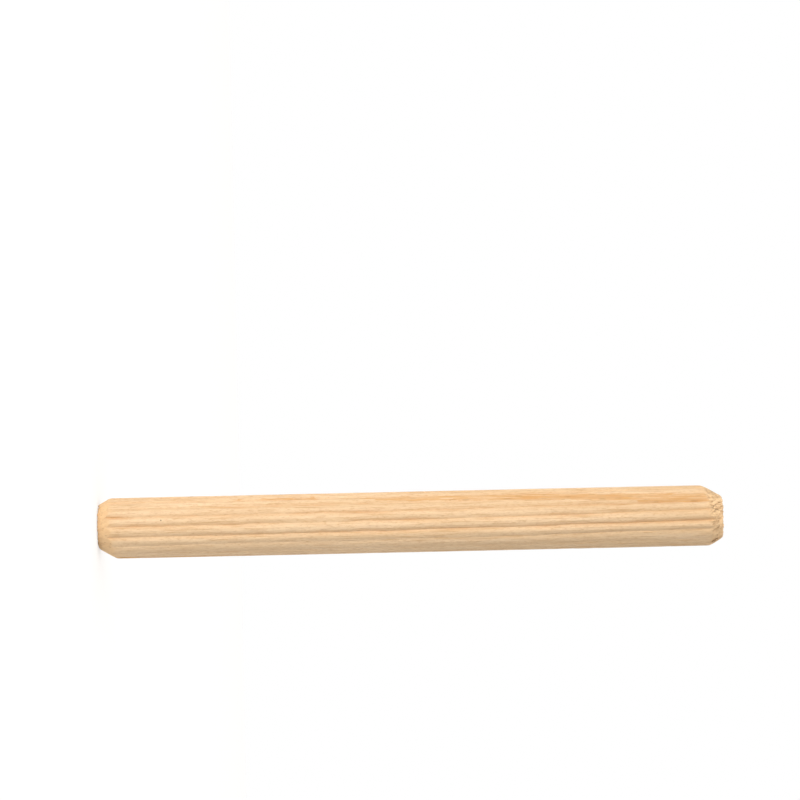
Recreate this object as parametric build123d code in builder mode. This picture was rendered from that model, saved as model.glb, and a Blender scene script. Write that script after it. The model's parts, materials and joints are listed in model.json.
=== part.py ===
from build123d import *

import math
import os

# The rod that the pin is cut from, measured over its ridges
pin_length = 80.0
pin_diameter = 7.8

# V-shaped flutes pressed along the whole rod, with rounded lips and a band of the rod's own surface between them
flute_count = 20
flute_width = 0.44
flute_depth = 0.22
lip_round = 0.20
floor_round = 0.06
first_flute_angle = -3.0

# Chamfers milled on the cut ends, at one slant to the pin's axis, each a little off that axis
chamfer_angle = 30.0
lower_chamfer_depth = 1.12
upper_chamfer_depth = 1.28
lower_chamfer_offset = -0.21
upper_chamfer_offset = 0.23

# How far a cutter runs past the wood
overrun = 1.5

# A flute's cutter goes on at the flute's own slope, out past the rod's surface
pin_radius = pin_diameter / 2
flute_slope = flute_width / 2 / flute_depth
flute_cutter_half_width = flute_slope * (flute_depth + overrun)

# Planes through each chamfer's own axis: local x goes across the pin, local y into the wood
lower_plane = Plane(origin=(lower_chamfer_offset, 0, 0), x_dir=(1, 0, 0), z_dir=(0, -1, 0))
upper_plane = Plane(origin=(upper_chamfer_offset, 0, pin_length), x_dir=(1, 0, 0), z_dir=(0, 1, 0))

# A chamfer's cutter is a ring with a cone inside it, which starts at the rim of the flat end that it leaves
cutter_radius = pin_radius + overrun
chamfer_slope = math.tan(math.radians(chamfer_angle))
chamfers = (
    (lower_plane, pin_radius - lower_chamfer_depth),
    (upper_plane, pin_radius - upper_chamfer_depth),
)

with BuildPart() as dowel_pin:
    # Section of the rod: flutes all round, first their floors rounded and then their lips
    with BuildSketch() as section:
        Circle(pin_radius)
        with PolarLocations(pin_radius, flute_count, start_angle=first_flute_angle):
            Polygon(
                (-flute_depth, 0),
                (overrun, -flute_cutter_half_width),
                (overrun, flute_cutter_half_width),
                align=None,
                mode=Mode.SUBTRACT,
            )
        fillet(section.vertices().group_by(SortBy.DISTANCE)[0], radius=floor_round)
        fillet(section.vertices().group_by(SortBy.DISTANCE)[-1], radius=lip_round)
    extrude(amount=pin_length)

    # Chamfers: the flutes run out in the two cones and leave scalloped edges there
    for end_plane, end_radius in chamfers:
        cone_height = (cutter_radius - end_radius) / chamfer_slope
        with BuildSketch(end_plane):
            with BuildLine():
                Polyline(
                    (end_radius, -overrun),
                    (end_radius, 0),
                    (cutter_radius, cone_height),
                    (cutter_radius, -overrun),
                    close=True,
                )
            make_face()
        revolve(axis=Axis(end_plane.origin, (0, 0, 1)), mode=Mode.SUBTRACT)

dowel_pin.part.label = "dowel_pin"

os.makedirs("parts", exist_ok=True)
export_step(dowel_pin.part, "parts/dowel_pin.step")
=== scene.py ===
"""A raw wooden dowel pin with pressed flutes and milled chamfers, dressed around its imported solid."""

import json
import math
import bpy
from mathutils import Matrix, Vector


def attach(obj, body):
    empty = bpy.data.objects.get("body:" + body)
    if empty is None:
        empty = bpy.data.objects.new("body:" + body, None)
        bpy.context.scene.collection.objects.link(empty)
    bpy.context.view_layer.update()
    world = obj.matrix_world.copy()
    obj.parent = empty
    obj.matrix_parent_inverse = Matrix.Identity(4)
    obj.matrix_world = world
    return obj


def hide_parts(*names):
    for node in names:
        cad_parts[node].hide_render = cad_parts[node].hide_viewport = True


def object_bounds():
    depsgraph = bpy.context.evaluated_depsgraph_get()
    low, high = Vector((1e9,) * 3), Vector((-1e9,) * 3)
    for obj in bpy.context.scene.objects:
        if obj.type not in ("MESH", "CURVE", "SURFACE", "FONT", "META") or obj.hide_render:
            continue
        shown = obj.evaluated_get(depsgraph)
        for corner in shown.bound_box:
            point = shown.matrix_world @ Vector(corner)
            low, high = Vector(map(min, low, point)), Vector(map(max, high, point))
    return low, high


bl_info = {
    "name": "Fluted dowel pin",
    "version": (1, 0, 0),
    "blender": (4, 5, 0),
    "location": "View3D > Sidebar > Dowel pin",
    "description": "Makes a raw wooden dowel pin with pressed flutes and milled ends, on a white stage",
    "category": "Add Mesh",
}

from collections import namedtuple

import bpy
import numpy as np
from mathutils import Matrix, Vector

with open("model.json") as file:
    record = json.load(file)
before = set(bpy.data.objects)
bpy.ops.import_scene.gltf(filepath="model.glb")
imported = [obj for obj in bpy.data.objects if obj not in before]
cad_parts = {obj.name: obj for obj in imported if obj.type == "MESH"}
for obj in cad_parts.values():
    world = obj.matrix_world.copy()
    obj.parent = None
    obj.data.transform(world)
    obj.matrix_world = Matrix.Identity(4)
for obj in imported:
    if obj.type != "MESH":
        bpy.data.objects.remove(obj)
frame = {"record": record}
cad_low, cad_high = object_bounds()

MM = 0.001
PIN_NODE = "dowel_pin"
SHANK = next(m for m in frame["record"]["mounts"] if m["name"] == "shank")

# The photograph's frame, in pixels, and where the pin's axis crosses its two ends there
PHOTO_SIDE = 800
LEFT_END_PIXEL = (99.0, 528.6)
RIGHT_END_PIXEL = (721.7, 515.1)


def linear(hex_colour):
    """Linear RGB of an sRGB hex colour."""
    channels = [int(hex_colour[i:i + 2], 16) / 255 for i in (1, 3, 5)]
    return tuple(c / 12.92 if c <= 0.04045 else ((c + 0.055) / 1.055) ** 2.4 for c in channels)


def add_node(tree, kind, sockets=(), **settings):
    """Adds a node with its settings, and its sockets by name or in order.

    A socket takes a value, another node's output to link, or a node whose first output is linked.
    """
    node = tree.nodes.new(kind)
    for name, value in settings.items():
        setattr(node, name, value)
    for key, value in sockets.items() if isinstance(sockets, dict) else enumerate(sockets):
        if isinstance(value, bpy.types.Node):
            value = value.outputs[0]
        if isinstance(value, bpy.types.NodeSocket):
            tree.links.new(value, node.inputs[key])
        else:
            node.inputs[key].default_value = value
    return node


class DowelPinSizes(bpy.types.PropertyGroup):
    """Form of the pin"""
    length: bpy.props.FloatProperty(
        name="Length", description="From one sawn end to the other",
        default=cad_high.z - cad_low.z, unit="LENGTH")
    radius: bpy.props.FloatProperty(
        name="Radius", description="Radius over the ridges",
        default=SHANK["dims"]["r_mm"] * MM, unit="LENGTH")
    flutes: bpy.props.IntProperty(
        name="Flutes", description="Number of flutes round the pin", default=20, min=3)
    first_flute: bpy.props.FloatProperty(
        name="First flute", description="Angle from +X to the first flute's even place at the lower end",
        default=math.radians(3.18), subtype="ANGLE", unit="ROTATION")
    twist: bpy.props.FloatProperty(
        name="Twist", description="How far the flutes have turned at the upper end",
        default=math.radians(-10.8), subtype="ANGLE", unit="ROTATION")
    flute_depth: bpy.props.FloatProperty(
        name="Flute depth", description="From the ridge tops to where a flute's two walls would meet",
        default=0.36 * MM, unit="LENGTH")
    floor_blunt: bpy.props.FloatProperty(
        name="Floor bluntness", description="Share of a flute's half width over which its floor is rounded",
        default=0.07, subtype="FACTOR")
    chamfer_angle: bpy.props.FloatProperty(
        name="Chamfer angle", description="Slant of the chamfers to the pin's axis",
        default=math.radians(30.0), subtype="ANGLE", unit="ROTATION")
    lower_depth: bpy.props.FloatProperty(
        name="Lower chamfer depth", description="Across the pin, from the ridges to the flat lower end",
        default=1.12 * MM, unit="LENGTH")
    upper_depth: bpy.props.FloatProperty(
        name="Upper chamfer depth", description="Across the pin, from the ridges to the flat upper end",
        default=1.28 * MM, unit="LENGTH")
    lower_offset: bpy.props.FloatVectorProperty(
        name="Lower chamfer offset", description="How far along X and Y the lower chamfer is off the axis",
        size=2, default=(-0.21 * MM, -0.12 * MM), unit="LENGTH")
    upper_offset: bpy.props.FloatVectorProperty(
        name="Upper chamfer offset", description="How far along X and Y the upper chamfer is off the axis",
        size=2, default=(0.23 * MM, -0.25 * MM), unit="LENGTH")
    edge_round: bpy.props.FloatProperty(
        name="Edge round", description="How softly the shank rolls over into its chamfers",
        default=0.08 * MM, unit="LENGTH")
    rim_round: bpy.props.FloatProperty(
        name="Rim round", description="How far the rims of the flat ends are worn in",
        default=0.05 * MM, unit="LENGTH")


class DowelPinWear(bpy.types.PropertyGroup):
    """Unevenness that the press and the mill leave in raw wood"""
    seed: bpy.props.IntProperty(name="Seed", description="Start of the random draws", default=7)
    wander: bpy.props.FloatProperty(
        name="Flute wander", description="How far a flute strays from its straight course",
        default=math.radians(0.65), subtype="ANGLE", unit="ROTATION")
    crowding: bpy.props.FloatProperty(
        name="Crowding",
        description="How far flutes are pushed at most from their even places round the pin",
        default=math.radians(8.6), subtype="ANGLE", unit="ROTATION")
    sparse_turn: bpy.props.FloatProperty(
        name="Sparse turn", description="Angle from +X to where the flutes lie furthest apart",
        default=math.radians(-30.0), subtype="ANGLE", unit="ROTATION")
    depth_spread: bpy.props.FloatProperty(
        name="Depth spread", description="Share by which flute depths differ",
        default=0.16, subtype="FACTOR")
    shallow_share: bpy.props.FloatProperty(
        name="Shallow side",
        description="Share of the depth that the flutes lack where they are pressed least",
        default=0.70, subtype="FACTOR")
    shallow_turn: bpy.props.FloatProperty(
        name="Shallow turn", description="Angle from +X to where the flutes are pressed least",
        default=math.radians(-42.0), subtype="ANGLE", unit="ROTATION")
    fibre_height: bpy.props.FloatProperty(
        name="Fibre height", description="Height of the long fibres that stand out of the surface",
        default=0.007 * MM, unit="LENGTH")
    nicks: bpy.props.IntProperty(
        name="Nicks", description="Number of small torn spots and lifted fibres", default=260)
    nick_height: bpy.props.FloatProperty(
        name="Nick height", description="Depth of a torn spot or height of a lifted fibre",
        default=0.036 * MM, unit="LENGTH")
    fray: bpy.props.FloatProperty(
        name="Edge fray", description="How far the chamfers' edges are frayed along the pin",
        default=0.10 * MM, unit="LENGTH")
    chip: bpy.props.FloatProperty(
        name="Chip", description="How far the rims of the flat ends are chipped",
        default=0.12 * MM, unit="LENGTH")
    strokes: bpy.props.IntProperty(
        name="Strokes", description="Number of torn strokes on a chamfer that is torn all over",
        default=560)
    tear_depth: bpy.props.FloatProperty(
        name="Tear depth", description="Depth of the fibres that the mill tears out of the ends",
        default=0.12 * MM, unit="LENGTH")
    # The lower end is torn less, partly real wear and partly painted light: fewer dark tears paint it paler,
    # as if more light fell on it
    lower_tear_and_painted_light: bpy.props.FloatProperty(
        name="Lower tear", description="How torn the lower end is", default=0.55, subtype="FACTOR")
    upper_tear: bpy.props.FloatProperty(
        name="Upper tear", description="How torn the upper end is", default=1.0, subtype="FACTOR")
    split_turn: bpy.props.FloatProperty(
        name="Split turn", description="Angle from +X to the split in the upper chamfer",
        default=math.radians(-29.5), subtype="ANGLE", unit="ROTATION")
    split_place: bpy.props.FloatProperty(
        name="Split place", description="From the upper end down to the middle of the split",
        default=1.10 * MM, unit="LENGTH")


class DowelPinWood(bpy.types.PropertyGroup):
    """Colours and grain of the wood"""
    pale: bpy.props.FloatVectorProperty(
        name="Pale wood", description="Plain wood between the streaks", default=linear("#FCDDB6"),
        subtype="COLOR", min=0, max=1)
    warm: bpy.props.FloatVectorProperty(
        name="Warm wood", description="Broad streaks of warmer wood", default=linear("#EFCDA2"),
        subtype="COLOR", min=0, max=1)
    fibre: bpy.props.FloatVectorProperty(
        name="Fibre", description="Fine darker fibres and flecks", default=linear("#DAAE7C"),
        subtype="COLOR", min=0, max=1)
    ring: bpy.props.FloatVectorProperty(
        name="Ring", description="Orange band where a year's growth starts", default=linear("#E2AD6E"),
        subtype="COLOR", min=0, max=1)
    pore: bpy.props.FloatVectorProperty(
        name="Pore", description="Cut vessels, seen as fine dark dashes", default=linear("#A9763F"),
        subtype="COLOR", min=0, max=1)
    end_grain: bpy.props.FloatVectorProperty(
        name="End grain", description="Fibres cut across on the chamfers and the ends",
        default=linear("#FED8A5"), subtype="COLOR", min=0, max=1)
    torn: bpy.props.FloatVectorProperty(
        name="Torn wood", description="Strokes where the mill tore fibres out of the ends",
        default=linear("#CC8A48"), subtype="COLOR", min=0, max=1)
    speck: bpy.props.FloatVectorProperty(
        name="Speck", description="A dark fleck", default=linear("#6B4425"),
        subtype="COLOR", min=0, max=1)
    speck_place: bpy.props.FloatVectorProperty(
        name="Speck place", description="Where the dark fleck lies on the front of the shank",
        default=(-1.02 * MM, -3.74 * MM, 8.25 * MM), subtype="XYZ", unit="LENGTH")
    pith: bpy.props.FloatVectorProperty(
        name="Pith", description="Where the middle of the trunk was, across the pin's lower end",
        size=2, default=(56.9 * MM, 19.0 * MM), unit="LENGTH")
    ring_start: bpy.props.FloatProperty(
        name="Ring start", description="From the pith to where the last year's growth starts",
        default=63.972 * MM, unit="LENGTH")
    ring_gap: bpy.props.FloatProperty(
        name="Ring gap", description="A year's growth", default=7.4 * MM, unit="LENGTH")
    ring_turn: bpy.props.FloatProperty(
        name="Ring turn",
        description="How far the rings wind round the pin from its lower end to its upper one",
        default=math.radians(32.0), subtype="ANGLE", unit="ROTATION")
    streak_width: bpy.props.FloatProperty(
        name="Streak width", description="Width of the broad streaks", default=0.9 * MM, unit="LENGTH")
    fibre_width: bpy.props.FloatProperty(
        name="Fibre width", description="Width of the long fibres", default=0.17 * MM, unit="LENGTH")
    fleck_width: bpy.props.FloatProperty(
        name="Fleck width", description="Width of the short flecks", default=0.12 * MM, unit="LENGTH")
    vessel_gap: bpy.props.FloatProperty(
        name="Vessel gap", description="From one group of vessels to the next",
        default=0.4 * MM, unit="LENGTH")


class DowelPinStage(bpy.types.PropertyGroup):
    """Light, floor and camera"""
    world_light: bpy.props.FloatProperty(
        name="Room light", description="Even light from all round", default=0.43)
    shady_side: bpy.props.FloatProperty(
        name="Shady side", description="Share by which the room is darker on the side away from the lamp",
        default=0.24, subtype="FACTOR")
    shady_back: bpy.props.FloatProperty(
        name="Shady back", description="Share by which the room is darker behind the pin",
        default=0.10, subtype="FACTOR")
    key_light: bpy.props.FloatProperty(
        name="Key light", description="Power of the soft lamp beside the camera",
        default=0.256, unit="POWER")
    key_turn: bpy.props.FloatProperty(
        name="Key turn", description="How far round from the camera the lamp stands",
        default=math.radians(-39.0), subtype="ANGLE", unit="ROTATION")
    key_height: bpy.props.FloatProperty(
        name="Key height", description="Height of the lamp's middle above the floor",
        default=0.023, unit="LENGTH")
    key_distance: bpy.props.FloatProperty(
        name="Key distance", description="From the pin to the lamp", default=0.25, unit="LENGTH")
    key_size: bpy.props.FloatVectorProperty(
        name="Key size", description="Width and height of the lamp",
        size=2, default=(0.14, 0.034), unit="LENGTH")
    top_light: bpy.props.FloatProperty(
        name="Top light", description="Power of the lamp overhead, which the floor throws back at the pin",
        default=6.8, unit="POWER")
    top_distance: bpy.props.FloatProperty(
        name="Top distance", description="From the pin to the lamp overhead", default=1.0, unit="LENGTH")
    top_size: bpy.props.FloatVectorProperty(
        name="Top size", description="Width and depth of the lamp overhead",
        size=2, default=(0.80, 0.80), unit="LENGTH")
    floor_size: bpy.props.FloatProperty(
        name="Floor size", description="Side of the white card that the pin stands on",
        default=0.7, unit="LENGTH")
    white_share: bpy.props.FloatProperty(
        name="White share", description="How much of the floor that is seen is plain white, not shaded",
        default=0.55, subtype="FACTOR")
    open_card: bpy.props.FloatProperty(
        name="Open card", description="How bright the floor is lit where nothing shades it",
        default=0.79, subtype="FACTOR")
    lens: bpy.props.FloatProperty(
        name="Lens", description="Focal length in millimetres", default=140.0, unit="CAMERA")


# Columns of vertices from a flute's middle to the ridge top beside it, as shares of that way
COLUMN_SHARES = np.array((0.0, 0.05, 0.11, 0.18, 0.27, 0.38, 0.50, 0.64, 0.80))
# Rows of vertices along the shank, close together beside its chamfers, and on each chamfer and end face
EDGE_STEPS = np.array((0.0, 0.10, 0.22, 0.38, 0.58)) * MM
EVEN_ROWS = 188
CHAMFER_SHARES = np.linspace(0.96, 0.0, 23)
FACE_SHARES = (0.965, 0.88, 0.76, 0.63, 0.50, 0.37, 0.24, 0.12)

# The flutes turn slowly at first along the pin and then faster
EVEN_TURN_SHARE = 0.3
LATE_TURN_POWER = 2.5

# Steps along the pin of the long and the short waves in a flute's course, in its depth and in the fibres
COURSE_STEPS = (8.0 * MM, 2.4 * MM)
DEPTH_STEPS = (6.5 * MM, 2.0 * MM)
FIBRE_STEPS = (4.4 * MM, 1.1 * MM)
# Height of a flute's short waves beside its long ones, and of the fibres' long waves beside their short ones
SHORT_FLUTE_SHARE = 0.8
LONG_FIBRE_SHARE = 0.8

# Least and most of the set depth that a flute has, and how quickly flutes deepen beside the shallow side
DEPTH_SHARES = (0.4, 1.5)
SHALLOW_POWER = 6

# Torn spots, lifted fibres and torn strokes: widths, lengths, and depths as shares of the deepest
NICK_WIDTHS = (0.05 * MM, 0.12 * MM)
NICK_LENGTHS = (0.15 * MM, 0.8 * MM)
NICK_SHARES = (-1.0, -0.7, 0.6)
STROKE_WIDTHS = (0.035 * MM, 0.10 * MM)
STROKE_LENGTHS = (0.15 * MM, 0.6 * MM)
STROKE_SHARES = (0.4, 1.0)
# Where strokes lie, as shares of the way up a chamfer, and how they slant
STROKE_PLACES = (-0.2, 1.1)
STROKE_SLANT = 0.6
STROKE_SLANT_SPREAD = 0.5
# A split is marked far deeper than a stroke, so that painted shadow shows in it as dark as a pore
SPLIT_WIDTH = 0.20 * MM
SPLIT_LENGTH = 0.48 * MM
SPLIT_SHADE_SHARE = 6.0
# Fuzz between the strokes and the deepest tear, as shares of the tear depth
FUZZ_SHARE = 0.10
DEEPEST_SHARE = 1.2
# Tears fade out up a chamfer: the share of the way up where they end, and how soon they are whole below it
TEAR_END_SHARE = 1.05
TEAR_RISE = 4

# How far up a chamfer its rim is worn, as a multiple of how far in, and how far up it is chipped
RIM_REACH = 3
CHIP_REACH = 0.3 * MM
# Columns that a chip goes over, and the mean and spread of the chips as shares of the deepest
CHIP_COLUMNS = 6
CHIP_MEAN = 0.5
CHIP_SPREAD = 0.5
# How quickly the flat ends level off inside their chipped rims, and how torn they are
FACE_POWER = 3
FACE_TORN = 0.45

# How much the shank's edges look like end grain, how torn that is, and how soon it fades along the pin
EDGE_MARK = 0.6
EDGE_TORN = 0.3
EDGE_REACH = 0.45 * MM

# What each point of the mesh is marked with for the wood's material
MARKS = ("end_grain", "torn", "groove")

# One end of the pin: its row of the shank, the chamfer's offset and depth, the end's level,
# the way into the wood, how torn it is, and the turn and place of its splits
End = namedtuple("End", "row offset depth level inward tear splits")


def both_ends(sizes, wear):
    """The lower end and the upper one."""
    # The lower end's lesser tear also paints it paler, as painted light
    lower = End(
        row=0, offset=sizes.lower_offset, depth=sizes.lower_depth, level=0.0, inward=1.0,
        tear=wear.lower_tear_and_painted_light, splits=())
    upper = End(
        row=-1, offset=sizes.upper_offset, depth=sizes.upper_depth, level=sizes.length, inward=-1.0,
        tear=wear.upper_tear, splits=((wear.split_turn, wear.split_place),))
    return lower, upper


def smooth_walks(rng, count, step, along, length):
    """Random smooth curves about zero, one row each, with a new value after each step along the pin."""
    knots = round(length / step)
    values = rng.normal(size=(count, knots + 2))
    at = along * knots
    low = np.floor(at).astype(int)
    ease = at - low
    ease = ease * ease * (3 - 2 * ease)
    return values[:, low] * (1 - ease) + values[:, low + 1] * ease


def eased_min(a, b, reach):
    """The smaller of two values, rounded over where they meet."""
    return 0.5 * (a + b - np.sqrt((a - b) ** 2 + reach ** 2))


def turn_between(a, b):
    """Signed angle from b to a, at most half a turn."""
    return (a - b + math.pi) % math.tau - math.pi


def chamfer_height(x, y, end, sizes):
    """Height above its end at which a chamfer's cone passes through a point of the shank's section."""
    from_axis = np.hypot(x - end.offset[0], y - end.offset[1])
    return (from_axis - sizes.radius + end.depth) / math.tan(sizes.chamfer_angle)


def chamfer_radius(angle, height, end, sizes):
    """Distance from the pin's axis to a chamfer's cone at a height above its end."""
    cone = sizes.radius - end.depth + height * math.tan(sizes.chamfer_angle)
    ahead = end.offset[0] * np.cos(angle) + end.offset[1] * np.sin(angle)
    aside = end.offset[0] * np.sin(angle) - end.offset[1] * np.cos(angle)
    return ahead + np.sqrt(cone ** 2 - aside ** 2)


def shank_places(sizes):
    """Shares of the shank's length at which its rows of vertices lie."""
    chamfers = (sizes.lower_depth + sizes.upper_depth) / math.tan(sizes.chamfer_angle)
    steps = EDGE_STEPS / (sizes.length - chamfers)
    gap = 2 * steps[-1] - steps[-2]
    return np.concatenate([steps, np.linspace(gap, 1 - gap, EVEN_ROWS), 1 - steps[::-1]])


def uneven_flutes(sizes, rng, along, steps):
    """How each flute differs from the rest along the pin: a value of its own, long waves and short ones."""
    long_waves = smooth_walks(rng, sizes.flutes, steps[0], along, sizes.length)
    short_waves = smooth_walks(rng, sizes.flutes, steps[1], along, sizes.length)
    return rng.normal(size=(sizes.flutes, 1)) + long_waves + SHORT_FLUTE_SHARE * short_waves


def raised_fibres(sizes, wear, rng, angle, along):
    """How far fibres stand out of the surface, or torn spots lie under it."""
    long_waves = smooth_walks(rng, angle.shape[1], FIBRE_STEPS[0], along, sizes.length).T
    short_waves = smooth_walks(rng, angle.shape[1], FIBRE_STEPS[1], along, sizes.length).T
    short_waves = short_waves + np.roll(short_waves, 1, axis=1)
    lift = wear.fibre_height * (short_waves + LONG_FIBRE_SHARE * long_waves)
    place = along[:, None] * sizes.length
    for _ in range(wear.nicks):
        across = sizes.radius * turn_between(angle, rng.uniform(-math.pi, math.pi))
        run = place - rng.uniform(0.0, sizes.length)
        across = across / rng.uniform(*NICK_WIDTHS)
        run = run / rng.uniform(*NICK_LENGTHS)
        lift += wear.nick_height * rng.choice(NICK_SHARES) * np.exp(-across ** 2 - run ** 2)
    return lift


def fluted_shank(sizes, wear, rng, along):
    """Angle and radius of the ridged surface, a row for each place along, and how deep it is in a flute."""
    half_pitch = math.pi / sizes.flutes
    shares = np.concatenate([-COLUMN_SHARES[:0:-1], COLUMN_SHARES, [1.0]])
    flute = np.repeat(np.arange(sizes.flutes), len(shares))
    share = np.tile(shares, sizes.flutes)

    late_turn = (1 - EVEN_TURN_SHARE) * along ** LATE_TURN_POWER
    turn = sizes.twist * (EVEN_TURN_SHARE * along + late_turn)
    stray = wear.wander * uneven_flutes(sizes, rng, along, COURSE_STEPS)
    even = sizes.first_flute + half_pitch * (2 * flute + share)
    start = even + wear.crowding * np.sin(even - wear.sparse_turn)
    angle = start[None, :] + turn[:, None] + stray[flute].T * (1 - np.abs(share))

    depth = 1 + wear.depth_spread * uneven_flutes(sizes, rng, along, DEPTH_STEPS)
    depth = np.clip(depth, *DEPTH_SHARES)
    blunt = np.sqrt(share ** 2 + sizes.floor_blunt ** 2)
    facing = np.clip(np.cos(angle - wear.shallow_turn), 0.0, None)
    weak = wear.shallow_share * facing ** SHALLOW_POWER
    groove = np.clip(1 - blunt, 0.0, None) ** 2 * depth[flute].T * (1 - weak)

    lift = raised_fibres(sizes, wear, rng, angle, along)
    radius = sizes.radius - np.clip(sizes.flute_depth * groove - lift, 0.0, None)
    return angle, radius, groove


def torn_depth(sizes, wear, rng, end, angle, height):
    """How far fibres are torn out of a chamfer in strokes and splits, as shares of the tear depth."""
    reach = end.depth / math.tan(sizes.chamfer_angle)
    strokes = []
    for _ in range(int(wear.strokes * end.tear)):
        turn, place = rng.uniform(-math.pi, math.pi), rng.uniform(*STROKE_PLACES) * reach
        slant = rng.normal(-STROKE_SLANT * end.inward, STROKE_SLANT_SPREAD)
        wide, long = rng.uniform(*STROKE_WIDTHS), rng.uniform(*STROKE_LENGTHS)
        strokes.append((turn, place, slant, wide, long, rng.uniform(*STROKE_SHARES)))
    # A split's share runs far past the deepest tear; beyond that it only marks painted shadow for the
    # material
    for turn, place in end.splits:
        strokes.append((turn, place, 0.0, SPLIT_WIDTH, SPLIT_LENGTH, SPLIT_SHADE_SHARE))

    depth = np.zeros_like(height)
    for turn, place, slant, wide, long, share in strokes:
        run = height - place
        across = sizes.radius * turn_between(angle, turn) - slant * run
        depth += share * np.exp(-(across / wide) ** 2 - (run / long) ** 2)
    return depth


def chipped_rim(wear, rng, columns):
    """How far the rim of a flat end is chipped back at each column, in chips a few columns wide."""
    draw = rng.normal(size=columns)
    chips = sum(np.roll(draw, i) for i in range(CHIP_COLUMNS)) / math.sqrt(CHIP_COLUMNS)
    return wear.chip * np.clip(CHIP_MEAN + CHIP_SPREAD * chips, 0.0, 1.0)


def chamfered_end(sizes, wear, rng, end, angle, radius, edge):
    """Rows of points down a chamfer and over its end face, from the shank's edge to beside the middle."""
    height = CHAMFER_SHARES[:, None] * edge[None, :]
    worn_in = sizes.rim_round * np.clip(1 - height / (RIM_REACH * sizes.rim_round), 0.0, None) ** 2
    cone = chamfer_radius(angle[None, :], height, end, sizes) - worn_in
    reach = eased_min(cone, radius[None, :], sizes.edge_round)
    torn = torn_depth(sizes, wear, rng, end, angle[None, :], height)
    torn = torn + FUZZ_SHARE * np.abs(rng.normal(size=torn.shape))
    from_edge = np.clip(TEAR_RISE * (TEAR_END_SHARE - CHAMFER_SHARES), 0.0, 1.0)[:, None]
    torn_out = np.clip(torn, 0.0, DEEPEST_SHARE) - torn.mean()
    reach = reach - end.tear * wear.tear_depth * torn_out * from_edge
    torn_marks = end.tear ** 2 * torn
    chipped = chipped_rim(wear, rng, len(angle))

    rows = []
    whole, none = np.ones(len(angle)), np.zeros(len(angle))
    for r, h, mark in zip(reach, height, torn_marks):
        level = end.level + end.inward * (h + chipped * np.clip(1 - h / CHIP_REACH, 0.0, None))
        rows.append((r * np.cos(angle), r * np.sin(angle), level, whole, mark, none))
    rim = chamfer_radius(angle, 0.0, end, sizes) - sizes.rim_round
    x, y = rim * np.cos(angle) - end.offset[0], rim * np.sin(angle) - end.offset[1]
    face_mark = FACE_TORN * end.tear * whole
    for share in FACE_SHARES:
        face_x, face_y = end.offset[0] + x * share, end.offset[1] + y * share
        level = end.level + end.inward * wear.chip * share ** FACE_POWER
        rows.append((face_x, face_y, level * whole, whole, face_mark, none))
    return rows


def pin_surface(sizes, wear):
    """Rows of points from the lower end to the upper one, each with its marks for the wood's material."""
    rng = np.random.default_rng(wear.seed)
    along = shank_places(sizes)
    angle, radius, groove = fluted_shank(sizes, wear, rng, along)
    ends = both_ends(sizes, wear)

    edges, end_rows = [], []
    for end in ends:
        turn, reach = angle[end.row], radius[end.row]
        edge = chamfer_height(reach * np.cos(turn), reach * np.sin(turn), end, sizes)
        edge = edge + wear.fray * end.tear * rng.normal(size=len(edge))
        edges.append(edge)
        end_rows.append(chamfered_end(sizes, wear, rng, end, turn, reach, edge))

    rows = list(reversed(end_rows[0]))
    even = np.ones(len(edges[0]))
    for i, share in enumerate(along):
        height = edges[0] + (sizes.length - edges[1] - edges[0]) * share
        reach = radius[i]
        for end in ends:
            cone = chamfer_radius(angle[i], end.inward * (height - end.level), end, sizes)
            reach = eased_min(cone, reach, sizes.edge_round)
        end_mark = EDGE_MARK * math.exp(-min(share, 1 - share) * sizes.length / EDGE_REACH)
        torn_mark = EDGE_TORN * end_mark * (wear.lower_tear_and_painted_light if share < 0.5 else wear.upper_tear)
        x, y = reach * np.cos(angle[i]), reach * np.sin(angle[i])
        rows.append((x, y, height, end_mark * even, torn_mark * even, groove[i]))
    return rows + end_rows[1]


def pin_mesh(sizes, wear):
    """One closed mesh of the pin, marked where it is end grain, torn, or in a flute."""
    rows = pin_surface(sizes, wear)
    columns = len(rows[0][0])
    table = np.concatenate([np.stack(row, axis=1) for row in rows])
    for end in both_ends(sizes, wear):
        middle = (*end.offset, end.level, 1.0, FACE_TORN * end.tear, 0.0)
        table = np.concatenate([table, [middle]])
    low_middle, high_middle = len(table) - 2, len(table) - 1
    last_row = (len(rows) - 1) * columns

    faces = []
    for r in range(len(rows) - 1):
        for c in range(columns):
            d = (c + 1) % columns
            faces.append((r * columns + c, r * columns + d, (r + 1) * columns + d, (r + 1) * columns + c))
    for c in range(columns):
        d = (c + 1) % columns
        faces.append((low_middle, d, c))
        faces.append((high_middle, last_row + c, last_row + d))

    mesh = bpy.data.meshes.new(PIN_NODE + "_wood")
    mesh.from_pydata([tuple(p) for p in table[:, :3]], [], faces)
    mesh.shade_smooth()
    for i, name in enumerate(MARKS):
        attribute = mesh.attributes.new(name, "FLOAT", "POINT")
        attribute.data.foreach_set("value", table[:, 3 + i].astype(np.float32))
    mesh.update()
    return mesh


# Grain patterns: how many times longer than wide each is, and the size of the raggedness of torn ends
STREAK_RATIO = 25
FIBRE_RATIO = 25
FLECK_RATIO = 5
VESSEL_RATIO = 5
RAGGED_WIDTH = 0.25 * MM
RAGGED_LENGTH = 0.6 * MM

# Rings sway in waves of this width, length and height, and taper up the trunk by this slope
SWAY_WIDTH = 3.3 * MM
SWAY_LENGTH = 20 * MM
SWAY_HEIGHT = 0.12 * MM
RING_TAPER = 0.0010

# Levels of a pattern, or distances from the speck, at which it starts to show and at which it shows most
EARLY_LEVELS = (0.085, 0.03)
VESSEL_LEVELS = (0.34, 0.14)
STREAK_LEVELS = (0.36, 0.64)
GRAIN_LEVELS = (0.50, 0.80)
RING_LEVELS = (0.38, 0.62)
DEEP_SHADE_LEVELS = (2.0, 5.0)
SPECK_LEVELS = (0.14 * MM, 0.05 * MM)
ROUGH_LEVELS = (0.3, 0.7)

# How much more of the warm tint shows for each metre up the pin
WARMER_PER_METRE = 3.5
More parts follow.
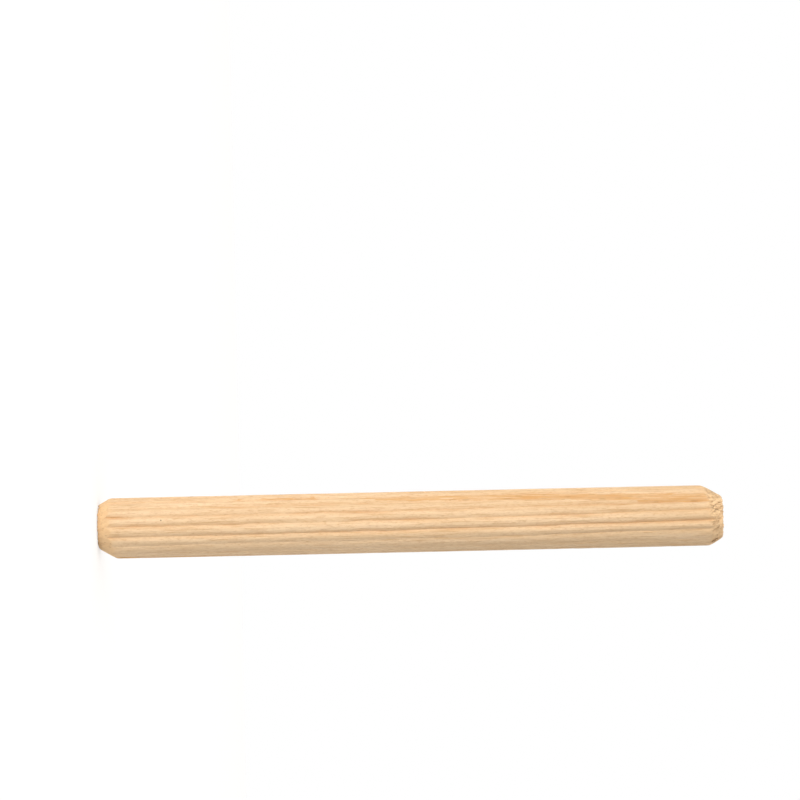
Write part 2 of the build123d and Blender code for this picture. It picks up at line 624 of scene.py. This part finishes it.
# Most that shows of each tint, of the painted shade in the flutes and of the painted shadow in the split,
# and the least of the orange band
STREAK_MOST = 0.7
FLECK_MOST = 0.9
RING_LEAST = 0.42
GROOVE_SHADE_MOST = 0.35
END_MOST = 0.7
TORN_MOST = 0.21
DEEP_SHADE_MOST = 0.95
SPECK_MOST = 0.7
# How dark vessels are in plain wood, and how much darker in early wood and on the ends
PLAIN_PORES = 0.10
EARLY_PORES = 0.2
END_PORES = 0.15

# Relief of the fibres, and of ragged ends and open pits beside it
FIBRE_RELIEF = 0.05 * MM
RAGGED_RELIEF = 3.0
PIT_RELIEF = -0.9
# Roughness between and on the fibres
ROUGHNESS = (0.58, 0.72)


def drawn_out_noise(tree, place, width, length, **sockets):
    """Noise in streaks along the pin, of a width and a length in metres."""
    per_metre = (1 / width, 1 / width, 1 / length)
    stretched = add_node(tree, "ShaderNodeVectorMath", (place, per_metre), operation="MULTIPLY")
    noise = add_node(tree, "ShaderNodeTexNoise", {"Vector": stretched, "Scale": 1.0, **sockets})
    return noise.outputs["Fac"]


def early_wood(tree, place, groove, wood, sizes):
    """1 where the first growth of a year lies and 0 elsewhere; rings wind, sway and taper up the trunk."""
    height = add_node(tree, "ShaderNodeSeparateXYZ", (place,)).outputs["Z"]
    turn_per_metre = -wood.ring_turn / sizes.length
    turn = add_node(tree, "ShaderNodeMath", (height, turn_per_metre), operation="MULTIPLY")
    wound = add_node(
        tree, "ShaderNodeVectorRotate", {"Vector": place, "Angle": turn}, rotation_type="Z_AXIS")
    across = add_node(tree, "ShaderNodeVectorMath", (wound, (1.0, 1.0, 0.0)), operation="MULTIPLY")
    from_pith = add_node(tree, "ShaderNodeVectorMath", (across, (*wood.pith, 0.0)), operation="DISTANCE")
    sway = drawn_out_noise(tree, place, SWAY_WIDTH, SWAY_LENGTH, Detail=3.0)
    swayed = add_node(
        tree, "ShaderNodeMath", (sway, SWAY_HEIGHT, from_pith.outputs["Value"]), operation="MULTIPLY_ADD")
    tapered = add_node(tree, "ShaderNodeMath", (height, RING_TAPER, swayed), operation="MULTIPLY_ADD")
    # Flutes are pressed and not cut, so they carry the rings down with them
    unpressed = add_node(
        tree, "ShaderNodeMath", (groove, sizes.flute_depth, tapered), operation="MULTIPLY_ADD")
    past_start = add_node(tree, "ShaderNodeMath", (unpressed, wood.ring_start), operation="SUBTRACT")
    year = add_node(tree, "ShaderNodeMath", (past_start, wood.ring_gap), operation="DIVIDE")
    season = add_node(tree, "ShaderNodeMath", (year,), operation="FRACT")
    return add_node(
        tree, "ShaderNodeMapRange", (season, *EARLY_LEVELS, 0.0, 1.0), interpolation_type="SMOOTHSTEP")


def cut_vessels(tree, place, wood):
    """1 inside vessels, which are cut into dashes along the pin and into short strokes on its ends."""
    gap = wood.vessel_gap
    per_gap = (1 / gap, 1 / gap, 1 / (VESSEL_RATIO * gap))
    stretched = add_node(tree, "ShaderNodeVectorMath", (place, per_gap), operation="MULTIPLY")
    from_middle = add_node(tree, "ShaderNodeTexVoronoi", {"Vector": stretched, "Scale": 1.0})
    return add_node(
        tree, "ShaderNodeMapRange", (from_middle.outputs["Distance"], *VESSEL_LEVELS, 0.0, 1.0),
        interpolation_type="SMOOTHSTEP")


def raw_beech(wood, sizes):
    """Raw beech, turned, pressed and milled, with no varnish.

    It gives the eye a dry, pale peach surface with no shine: short fine streaks along the pin, an orange
    band where a year's growth starts, short dark dashes of cut vessels, and warmer, rougher end grain.
    It also paints shade into the flutes and a dark painted shadow into the split.
    """
    material = bpy.data.materials.new("raw_beech_pressed_and_milled")
    material.use_nodes = True
    tree = material.node_tree
    tree.nodes.clear()

    place = add_node(tree, "ShaderNodeTexCoord").outputs["Object"]
    height = add_node(tree, "ShaderNodeSeparateXYZ", (place,)).outputs["Z"]
    end_grain, torn, groove = (
        add_node(tree, "ShaderNodeAttribute", attribute_name=name).outputs["Fac"] for name in MARKS)

    # The real fibres and flecks are finer than this, and are drawn as coarse as they need to show
    early = early_wood(tree, place, groove, wood, sizes)
    vessel = cut_vessels(tree, place, wood)
    streak = drawn_out_noise(
        tree, place, wood.streak_width, STREAK_RATIO * wood.streak_width, Detail=2.0, Distortion=0.4)
    fibre = drawn_out_noise(
        tree, place, wood.fibre_width, FIBRE_RATIO * wood.fibre_width, Detail=2.0, Roughness=0.6)
    fleck = drawn_out_noise(
        tree, place, wood.fleck_width, FLECK_RATIO * wood.fleck_width, Detail=2.0, Roughness=0.6)
    ragged = drawn_out_noise(tree, place, RAGGED_WIDTH, RAGGED_LENGTH, Detail=3.0)

    # How much of each tint shows: warm streaks, more of them towards the upper end, then fibres and flecks
    streak_share = add_node(tree, "ShaderNodeMapRange", (streak, *STREAK_LEVELS, 0.0, STREAK_MOST))
    streak_share = add_node(
        tree, "ShaderNodeMath", (height, WARMER_PER_METRE, streak_share), operation="MULTIPLY_ADD")
    fibre_share = add_node(tree, "ShaderNodeMapRange", (fibre, *GRAIN_LEVELS, 0.0, 1.0))
    fleck_share = add_node(tree, "ShaderNodeMapRange", (fleck, *GRAIN_LEVELS, 0.0, FLECK_MOST))
    uneven = add_node(tree, "ShaderNodeMapRange", (fibre, *RING_LEVELS, RING_LEAST, 1.0))
    ring_share = add_node(tree, "ShaderNodeMath", (early, uneven), operation="MULTIPLY")
    # Darker in the flutes: painted shade in their recesses, partly the pressed wood's own darker tone
    groove_shade_share = add_node(tree, "ShaderNodeMath", (groove, GROOVE_SHADE_MOST), operation="MULTIPLY")
    end_share = add_node(tree, "ShaderNodeMath", (end_grain, END_MOST), operation="MULTIPLY")
    torn_share = add_node(tree, "ShaderNodeMath", (torn, TORN_MOST), operation="MULTIPLY")

    # Vessels show most in early wood and on the ends; the deepest tears, chiefly the split, get painted
    # shadow as dark as a vessel
    porous = add_node(tree, "ShaderNodeMath", (early, EARLY_PORES, PLAIN_PORES), operation="MULTIPLY_ADD")
    porous = add_node(tree, "ShaderNodeMath", (end_grain, END_PORES, porous), operation="MULTIPLY_ADD")
    deep_shade = add_node(tree, "ShaderNodeMapRange", (torn, *DEEP_SHADE_LEVELS, 0.0, DEEP_SHADE_MOST))
    pore_and_shade_share = add_node(tree, "ShaderNodeMath", (vessel, porous, deep_shade), operation="MULTIPLY_ADD")

    # One dark fleck, a quarter of a millimetre across
    from_speck = add_node(tree, "ShaderNodeVectorMath", (place, wood.speck_place), operation="DISTANCE")
    speck_share = add_node(
        tree, "ShaderNodeMapRange", (from_speck.outputs["Value"], *SPECK_LEVELS, 0.0, SPECK_MOST),
        interpolation_type="SMOOTHSTEP")

    tints = (
        (streak_share, wood.warm),
        (fibre_share, wood.fibre),
        (fleck_share, wood.fibre),
        (ring_share, wood.ring),
        (groove_shade_share, wood.fibre),
        (end_share, wood.end_grain),
        (torn_share, wood.torn),
        (pore_and_shade_share, wood.pore),
        (speck_share, wood.speck),
    )
    colour = (*wood.pale, 1)
    for share, tint in tints:
        mix = add_node(tree, "ShaderNodeMix", {0: share, 6: colour, 7: (*tint, 1)}, data_type="RGBA")
        colour = mix.outputs[2]

    # Relief: fibres stand up, vessels are open, and torn ends are ragged
    ragged = add_node(tree, "ShaderNodeMath", (ragged, torn), operation="MULTIPLY")
    pits = add_node(tree, "ShaderNodeMath", (torn_share, pore_and_shade_share), operation="ADD")
    relief = add_node(tree, "ShaderNodeMath", (fleck, fibre), operation="ADD")
    relief = add_node(tree, "ShaderNodeMath", (ragged, RAGGED_RELIEF, relief), operation="MULTIPLY_ADD")
    relief = add_node(tree, "ShaderNodeMath", (pits, PIT_RELIEF, relief), operation="MULTIPLY_ADD")
    bump = add_node(
        tree, "ShaderNodeBump", {"Height": relief, "Strength": 1.0, "Distance": FIBRE_RELIEF})

    rough = add_node(tree, "ShaderNodeMapRange", (fibre, *ROUGH_LEVELS, *ROUGHNESS))
    shader = add_node(tree, "ShaderNodeBsdfPrincipled", {
        "Base Color": colour, "Roughness": rough, "Normal": bump, "IOR": 1.5, "Specular IOR Level": 0.5})
    add_node(tree, "ShaderNodeOutputMaterial", {"Surface": shader})
    return material


class DOWEL_OT_make_pin(bpy.types.Operator):
    """Make the pin: one piece of fluted wood in the place of its solid"""
    bl_idname = "dowel.make_pin"
    bl_label = "Make the pin"

    def execute(self, context):
        scene = context.scene
        pin = bpy.data.objects.new("fluted_pin", pin_mesh(scene.dowel_sizes, scene.dowel_wear))
        scene.collection.objects.link(pin)
        pin.data.materials.append(raw_beech(scene.dowel_wood, scene.dowel_sizes))
        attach(pin, "root")
        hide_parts(PIN_NODE)
        return {"FINISHED"}


# Colours of the card, of the light from the room and of the light from the lamps
CARD_COLOUR = linear("#F6F6F4")
ROOM_COLOUR = linear("#F3F7FF")
LAMP_COLOUR = linear("#FFF7EC")
PLAIN_WHITE = (1, 1, 1, 1)


def seen_directly(tree):
    """1 for rays from the camera, or by way of a mirror or glass, and 0 for light that falls on things."""
    path = add_node(tree, "ShaderNodeLightPath").outputs
    seen = add_node(
        tree, "ShaderNodeMath", (path["Is Camera Ray"], path["Is Glossy Ray"]), operation="MAXIMUM")
    return add_node(tree, "ShaderNodeMath", (seen, path["Is Transmission Ray"]), operation="MAXIMUM")


def white_card(settings):
    """Matte white card, as a product table is covered with: an even white that keeps a faint shadow."""
    material = bpy.data.materials.new("white_card_matte")
    material.use_nodes = True
    tree = material.node_tree
    tree.nodes.clear()
    white = settings.white_share
    strength = (1 - (1 - white) * settings.open_card) / white
    card = add_node(tree, "ShaderNodeBsdfPrincipled", {"Base Color": (*CARD_COLOUR, 1), "Roughness": 0.9})
    plain = add_node(tree, "ShaderNodeEmission", {"Color": PLAIN_WHITE, "Strength": strength})
    plain_share = add_node(tree, "ShaderNodeMath", (seen_directly(tree), white), operation="MULTIPLY")
    both = add_node(tree, "ShaderNodeMixShader", (plain_share, card, plain))
    add_node(tree, "ShaderNodeOutputMaterial", {"Surface": both})
    return material


class DOWEL_OT_set_stage(bpy.types.Operator):
    """Set the stage: white floor, soft light, and the camera where the photograph was taken"""
    bl_idname = "dowel.set_stage"
    bl_label = "Set the stage"

    def execute(self, context):
        scene = context.scene
        sizes, settings = scene.dowel_sizes, scene.dowel_stage
        self.lay_floor(scene, settings)
        self.light_room(scene, sizes, settings)
        self.set_camera(scene, sizes, settings)
        scene.view_settings.view_transform = "Standard"
        return {"FINISHED"}

    def lay_floor(self, scene, settings):
        """A wide white card that the pin stands on."""
        half = settings.floor_size / 2
        corners = [(-half, -half, 0), (half, -half, 0), (half, half, 0), (-half, half, 0)]
        mesh = bpy.data.meshes.new("floor")
        mesh.from_pydata(corners, [], [(0, 1, 2, 3)])
        mesh.materials.append(white_card(settings))
        floor = bpy.data.objects.new("floor", mesh)
        scene.collection.objects.link(floor)

    def light_room(self, scene, sizes, settings):
        """Even light from a white room, a soft lamp that picks out the flutes, and one overhead."""
        world = bpy.data.worlds.new("white_room")
        world.use_nodes = True
        tree = world.node_tree
        tree.nodes.clear()
        way = add_node(tree, "ShaderNodeTexCoord").outputs["Generated"]
        level = settings.world_light
        darker = (-settings.shady_side * level, -settings.shady_back * level, 0.0)
        change = add_node(tree, "ShaderNodeVectorMath", (way, darker), operation="DOT_PRODUCT")
        strength = add_node(tree, "ShaderNodeMath", (change.outputs["Value"], level), operation="ADD")
        light = add_node(tree, "ShaderNodeBackground", {"Color": (*ROOM_COLOUR, 1), "Strength": strength})
        plain = add_node(tree, "ShaderNodeBackground", {"Color": PLAIN_WHITE, "Strength": 1.0})
        both = add_node(tree, "ShaderNodeMixShader", (seen_directly(tree), light, plain))
        add_node(tree, "ShaderNodeOutputWorld", {"Surface": both})
        scene.world = world

        middle = Vector((0, 0, sizes.length / 2))
        side_on = Vector((math.sin(settings.key_turn), -math.cos(settings.key_turn), 0))
        key_place = side_on * settings.key_distance + Vector((0, 0, settings.key_height))
        top_place = middle + Vector((0, 0, settings.top_distance))
        self.hang_lamp(scene, "key", key_place, middle, settings.key_size, settings.key_light)
        self.hang_lamp(scene, "top", top_place, middle, settings.top_size, settings.top_light)

    def hang_lamp(self, scene, name, place, aim, size, power):
        """A rectangular soft lamp that looks at a point."""
        lamp = bpy.data.lights.new(name, "AREA")
        lamp.shape = "RECTANGLE"
        lamp.size, lamp.size_y = size
        lamp.energy = power
        lamp.color = LAMP_COLOUR
        lamp_object = bpy.data.objects.new(name, lamp)
        lamp_object.location = place
        lamp_object.rotation_euler = (aim - place).to_track_quat("-Z", "Y").to_euler()
        scene.collection.objects.link(lamp_object)

    def set_camera(self, scene, sizes, settings):
        """The camera looks across the standing pin, rolled so that the pin lies across the picture."""
        camera = bpy.data.cameras.new("camera")
        camera.lens = settings.lens
        focal = settings.lens / camera.sensor_width * PHOTO_SIDE
        left, right = Vector(LEFT_END_PIXEL), Vector(RIGHT_END_PIXEL)
        across = right - left
        per_pixel = sizes.length / across.length
        tilt = math.atan2(-across.y, across.x)
        picture_right = Vector((math.sin(tilt), 0, math.cos(tilt)))
        picture_up = Vector((-math.cos(tilt), 0, math.sin(tilt)))
        back = Vector((0, -1, 0))
        off_middle = ((left + right) / 2 - Vector((PHOTO_SIDE / 2, PHOTO_SIDE / 2))) * per_pixel
        place = Vector((0, 0, sizes.length / 2)) + back * focal * per_pixel
        place += picture_up * off_middle.y - picture_right * off_middle.x
        turn = Matrix((picture_right, picture_up, back)).transposed()
        camera_object = bpy.data.objects.new("camera", camera)
        camera_object.matrix_world = Matrix.Translation(place) @ turn.to_4x4()
        camera.clip_start = 0.01
        scene.collection.objects.link(camera_object)
        scene.camera = camera_object


class DOWEL_PT_panel(bpy.types.Panel):
    """Everything that can be set about the pin and its stage"""
    bl_idname = "DOWEL_PT_panel"
    bl_label = "Dowel pin"
    bl_space_type = "VIEW_3D"
    bl_region_type = "UI"
    bl_category = "Dowel pin"

    def draw(self, context):
        for group in GROUPS:
            settings = getattr(context.scene, group)
            box = self.layout.box()
            for name in settings.__annotations__:
                box.prop(settings, name)
        self.layout.operator(DOWEL_OT_make_pin.bl_idname)
        self.layout.operator(DOWEL_OT_set_stage.bl_idname)


GROUPS = {
    "dowel_sizes": DowelPinSizes,
    "dowel_wear": DowelPinWear,
    "dowel_wood": DowelPinWood,
    "dowel_stage": DowelPinStage,
}
CLASSES = (*GROUPS.values(), DOWEL_OT_make_pin, DOWEL_OT_set_stage, DOWEL_PT_panel)


def register():
    for cls in CLASSES:
        bpy.utils.register_class(cls)
    for name, group in GROUPS.items():
        setattr(bpy.types.Scene, name, bpy.props.PointerProperty(type=group))


def unregister():
    for name in GROUPS:
        delattr(bpy.types.Scene, name)
    for cls in reversed(CLASSES):
        bpy.utils.unregister_class(cls)


def main():
    register()
    bpy.ops.dowel.make_pin()
    bpy.ops.dowel.set_stage()


if __name__ == "__main__":
    main()
